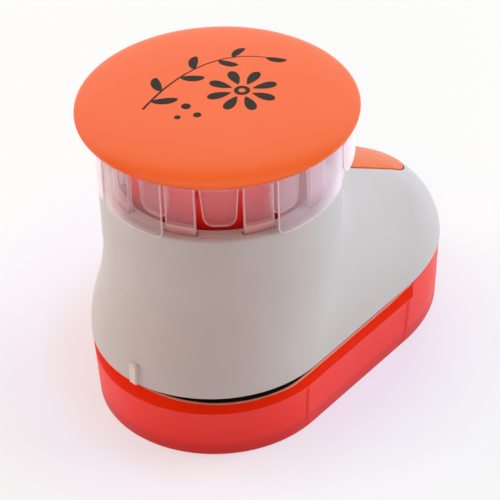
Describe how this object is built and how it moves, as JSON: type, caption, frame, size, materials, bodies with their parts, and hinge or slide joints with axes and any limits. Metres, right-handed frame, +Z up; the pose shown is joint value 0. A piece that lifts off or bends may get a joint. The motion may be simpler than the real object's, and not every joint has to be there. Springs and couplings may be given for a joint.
{
  "type": "flower craft punch",
  "caption": "Palm-press craft punch: a domed round button on a clear sleeve drives a lever and flower-shaped cutters through a slotted jaw, over a pull-off tray for the cut pieces.",
  "frame": {"origin": "under the middle of the whole punch, on the surface that it stands on", "axes": "+Z up along the button's travel, -Y towards the front, where the paper goes in, and +Y towards the lever's end; X runs across the punch, which is symmetric about x = 0 but for its motif and pin head"},
  "size_m": [0.07, 0.1086, 0.0861],
  "materials": {
    "grey_plastic": "fine satin moulded plastic",
    "coral_plastic": "smooth glossy moulded plastic",
    "orange_plastic": "satin moulded plastic",
    "clear_plastic": "clear moulded plastic",
    "plunger_red": "tinted moulded plastic",
    "jaw_red": "glossy moulded plastic",
    "tray_red": "translucent tinted plastic",
    "black_plastic": "matte",
    "plate_steel": "ground steel",
    "zinc_steel": "zinc plated",
    "spring_steel": "drawn wire"
  },
  "bodies": {
    "housing": {"housing_shell": "grey_plastic", "rear_cover": "orange_plastic", "stop_ring": "black_plastic", "guide_plate": "plate_steel", "throat_stop": "black_plastic", "die_plate": "plate_steel", "lower_jaw": "jaw_red", "guide_post_left": "plate_steel", "guide_post_right": "plate_steel", "return_spring_left": "spring_steel", "return_spring_right": "spring_steel", "lever_bracket": "zinc_steel", "pivot_pin": "zinc_steel", "pivot_clip": "plate_steel", "housing_screw_front_left": "zinc_steel", "housing_screw_front_right": "zinc_steel", "housing_screw_rear_left": "zinc_steel", "housing_screw_rear_right": "zinc_steel", "guide_screw_left": "zinc_steel", "guide_screw_right": "zinc_steel", "die_screw_left": "zinc_steel", "die_screw_right": "zinc_steel", "bracket_screw_left": "zinc_steel", "bracket_screw_right": "zinc_steel"},
    "plunger": {"press_button": "coral_plastic", "button_plunger": "plunger_red", "clear_sleeve": "clear_plastic"},
    "lever": {"force_lever": "zinc_steel"},
    "ram": {"ram_plate": "plate_steel", "link_pin": "zinc_steel", "flower_cutter": "plate_steel", "sprig_cutter": "plate_steel"},
    "tray": {"chip_tray": "tray_red"}
  },
  "joints": [
    {"name": "button_press", "type": "slide", "parent": "housing", "child": "plunger", "axis": [0, 0, -1], "range_m": [0, 0.009], "stiffness_N_per_m": 1500, "springref_m": -0.004},
    {"name": "lever_swing", "type": "hinge", "parent": "housing", "child": "lever", "pos_m": [0, 0.02795, 0.03501], "axis": [1, 0, 0], "range_deg": [0, 7.85]},
    {"name": "ram_stroke", "type": "slide", "parent": "housing", "child": "ram", "axis": [0, 0, -1], "range_m": [0, 0.0063], "deforming": ["return_spring_left", "return_spring_right"]},
    {"name": "tray_release", "type": "slide", "parent": "housing", "child": "tray", "axis": [0, 0, -1], "range_m": [0, 0.03]}
  ],
  "couplings": [
    {"joint": "lever_swing", "follows": "button_press", "rad_per_m": 15.152},
    {"joint": "ram_stroke", "follows": "button_press", "ratio": 0.69697}
  ]
}
